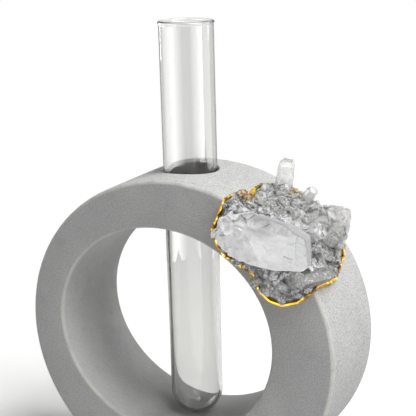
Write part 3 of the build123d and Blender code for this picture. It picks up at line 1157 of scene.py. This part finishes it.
def place_camera(studio):
    """The camera at the viewing angle, with its roll."""
    turn = studio.azimuth
    back = round_the_vase(turn, studio.elevation, 1.0)
    right = Vector((math.cos(turn), math.sin(turn), 0))
    upright = Matrix((right, back.cross(right), back)).transposed()
    data = bpy.data.cameras.new("camera")
    data.lens = studio.focal
    data.clip_start = 10 * MM
    data.clip_end = 2 * studio.floor_width
    camera = new_object("camera", data)
    camera.rotation_mode = "QUATERNION"
    camera.rotation_quaternion = (upright @ Matrix.Rotation(studio.roll, 3, "Z")).to_quaternion()
    camera.location = Vector(studio.target) + back * studio.distance
    bpy.context.scene.camera = camera


# Operators


class VASE_OT_ring(bpy.types.Operator):
    """Finish the cast concrete ring"""

    bl_idname = "vase.ring"
    bl_label = "Concrete ring"

    def execute(self, context):
        settings = context.scene.tube_vase.concrete
        ring = node_copy("cast_ring", "concrete_ring")
        for face in ring.data.polygons:
            face.use_smooth = True
        ring.data.set_sharp_from_angle(angle=settings.sharp_angle)
        ring.data.materials.append(concrete_material(settings))
        settle(ring, STAND, "concrete", "concrete_ring")
        return {"FINISHED"}


class VASE_OT_tube(bpy.types.Operator):
    """Draw the glass test tube"""

    bl_idname = "vase.tube"
    bl_label = "Test tube"

    def execute(self, context):
        settings = context.scene.tube_vase.glass
        low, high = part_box("test_tube")
        centre = Vector(((low.x + high.x) / 2, (low.y + high.y) / 2, low.z))
        radius = (high.x - low.x) / 2 - settings.bead
        profile = tube_profile(radius, high.z - low.z, settings.wall, settings.bead)
        tube = revolved("glass_tube", profile, centre, settings.segments)
        tube.data.materials.append(glass_material(settings))
        settle(tube, TUBE, "tube_glass", "test_tube")
        return {"FINISHED"}


class VASE_OT_rock(bpy.types.Operator):
    """Break the grey rock and stand patches of small crystals on it"""

    bl_idname = "vase.rock"
    bl_label = "Rock and druse"

    def execute(self, context):
        settings = context.scene.tube_vase.crystal
        rock = node_copy("grey_rock", "quartz_base")
        recast(rock, settings.cell * ROCK_CELL_SHARE, smoothing=2)
        weather(
            rock, rock_material(settings), seed=1, lump=(3.5, 0.5), grit=(1.2, 0.08),
            crack=(3.6, 0.15), tilt=0.6, swell=-0.15,
        )
        settle(rock, STAND, "smoky_quartz", "quartz_base")
        grain = quartz_grain("druse grain")
        material = clear_material(settings)
        for number, patch in enumerate(DRUSE_PATCHES):
            scatter(
                f"druse_{number + 1}", "clear_quartz", rock, grain, material, *patch,
                tilt=DRUSE_TILT, seed=settings.seed + number,
            )
        return {"FINISHED"}


class VASE_OT_crystals(bpy.types.Operator):
    """Grow the large crystals and the larger points of the druse"""

    bl_idname = "vase.crystals"
    bl_label = "Crystals"

    def execute(self, context):
        settings = context.scene.tube_vase.crystal
        main = node_copy("milky_crystal", "main_crystal")
        recast(main, settings.cell, smoothing=3)
        weather(
            main, milky_material(settings), seed=2, lump=(6.0, 0.6), grit=(1.2, 0.08),
            crack=(4.0, 0.45), tilt=0.7, calm=(MAIN_FACE, 26),
        )
        settle(main, STAND, "milky_quartz", "main_crystal")
        clear = clear_material(settings)
        glassy = glassy_material(
            "glassy quartz", settings, settings.glassy, settings.rock,
            veils=0.3, clarity=0.7, smoothest=0.04,
        )
        dusky = glassy_material(
            "dusky quartz", settings, settings.dusky, settings.rock_shade,
            veils=0.12, clarity=0.3, smoothest=0.25,
        )
        for node in LARGE_CRYSTALS:
            crystal = node_copy(node.replace("crystal", "point"), node)
            if node == "rear_crystal":
                recast(crystal, settings.cell, smoothing=1)
                weather(
                    crystal, clear, seed=3, lump=(5.0, 0.4), grit=(1.2, 0.06),
                    crack=(5.0, 0.15), tilt=0.5, calm=(REAR_FACE, 12),
                )
            else:
                facet(crystal, settings.bevel, dusky if node == "lower_crystal" else glassy)
            settle(crystal, STAND, "clear_quartz", node)
        points = node_copy("druse_crystals", "druse_points")
        recast(points, settings.cell * DRUSE_CELL_SHARE, smoothing=0)
        weather(
            points, clear, seed=5, lump=(2.5, 0.2), grit=(0.8, 0.04), crack=(1.6, 0.1), tilt=0.8
        )
        settle(points, STAND, "clear_quartz", "druse_points")
        return {"FINISHED"}


class VASE_OT_gilding(bpy.types.Operator):
    """Gild the edge of the cluster"""

    bl_idname = "vase.gilding"
    bl_label = "Gilded edge"

    def execute(self, context):
        settings = context.scene.tube_vase.gilding
        edge = node_copy("gilded_edge", "gilt_edge")
        recast(edge, settings.cell, smoothing=4)
        gold = gold_material("gilding", settings, settings.gold)
        worn = gold_material("worn gilding", settings, settings.worn)
        weather(
            edge, gold, seed=12, lump=(3.6, settings.lumps / MM), grit=(1.1, 0.3),
            crack=(2.0, 0.15), tilt=0.3, swell=-0.1, calm=(BRIGHT_GILDING, 12),
        )
        settle(edge, STAND, "gilding", "gilt_edge")
        grain = nugget_grain("nugget")
        size = settings.nugget / MM
        for number, patch in enumerate(NUGGET_PATCHES):
            scatter(
                f"nuggets_{number + 1}", "gilding", edge, grain, gold, *patch,
                sizes=(size * 0.35, size), spacing=size * 0.7,
                tilt=NUGGET_TILT, seed=settings.seed + number,
            )
        for number, (piece, *patch) in enumerate(FLECK_PATCHES):
            scatter(
                f"flecks_{number + 1}", "gilding", bpy.data.objects[piece], grain, worn, *patch,
                sizes=(size * 0.5, size * 1.3), spacing=size * 0.5,
                tilt=NUGGET_TILT, seed=settings.seed + number,
            )
        return {"FINISHED"}


class VASE_OT_adhesive(bpy.types.Operator):
    """Finish the bed of adhesive under the rock"""

    bl_idname = "vase.adhesive"
    bl_label = "Adhesive bed"

    def execute(self, context):
        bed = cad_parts["adhesive_bed"]
        bed.data.materials.clear()
        bed.data.materials.append(adhesive_material(context.scene.tube_vase.adhesive))
        return {"FINISHED"}


class VASE_OT_stage(bpy.types.Operator):
    """Set the floor, the light and the camera"""

    bl_idname = "vase.stage"
    bl_label = "Studio"

    def execute(self, context):
        studio = context.scene.tube_vase.studio
        light_world(studio.ambient)
        width = studio.floor_width
        floor = sheet("floor", width, (-width / 2, 0), (width / 2, 0), floor_material(studio))
        for name, turn, rise in LAMPS:
            turn, rise = math.radians(turn), math.radians(rise)
            area_lamp(f"{name} light", turn, rise, getattr(studio, name), studio)
        for number, (turn, width, low, high) in enumerate(STRIPS):
            strip_light(number + 1, math.radians(turn), width * MM, low, high, studio)
        place_camera(studio)
        context.scene.view_settings.view_transform = "Standard"
        return {"FINISHED"}


class VASE_PT_panel(bpy.types.Panel):
    """Settings and steps of the vase"""

    bl_idname = "VASE_PT_panel"
    bl_label = "Test tube vase"
    bl_space_type = "VIEW_3D"
    bl_region_type = "UI"
    bl_category = "Tube vase"

    def draw(self, context):
        settings = context.scene.tube_vase
        for step in STEPS:
            self.layout.operator(step.bl_idname)
        for group in ("concrete", "glass", "crystal", "gilding", "adhesive", "studio"):
            box = self.layout.box()
            box.label(text=group.capitalize())
            values = getattr(settings, group)
            for name in values.bl_rna.properties.keys():
                if name not in ("rna_type", "name"):
                    box.prop(values, name)


STEPS = (
    VASE_OT_ring,
    VASE_OT_tube,
    VASE_OT_rock,
    VASE_OT_crystals,
    VASE_OT_gilding,
    VASE_OT_adhesive,
    VASE_OT_stage,
)
SETTINGS = (
    ConcreteSettings,
    GlassSettings,
    CrystalSettings,
    GildingSettings,
    AdhesiveSettings,
    StudioSettings,
    VaseSettings,
)
CLASSES = (*SETTINGS, *STEPS, VASE_PT_panel)


def register():
    for each in CLASSES:
        bpy.utils.register_class(each)
    bpy.types.Scene.tube_vase = PointerProperty(type=VaseSettings)


def unregister():
    del bpy.types.Scene.tube_vase
    for each in reversed(CLASSES):
        bpy.utils.unregister_class(each)


def main():
    register()
    for step in STEPS:
        group, name = step.bl_idname.split(".")
        getattr(getattr(bpy.ops, group), name)()
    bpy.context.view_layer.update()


if __name__ == "__main__":
    main()
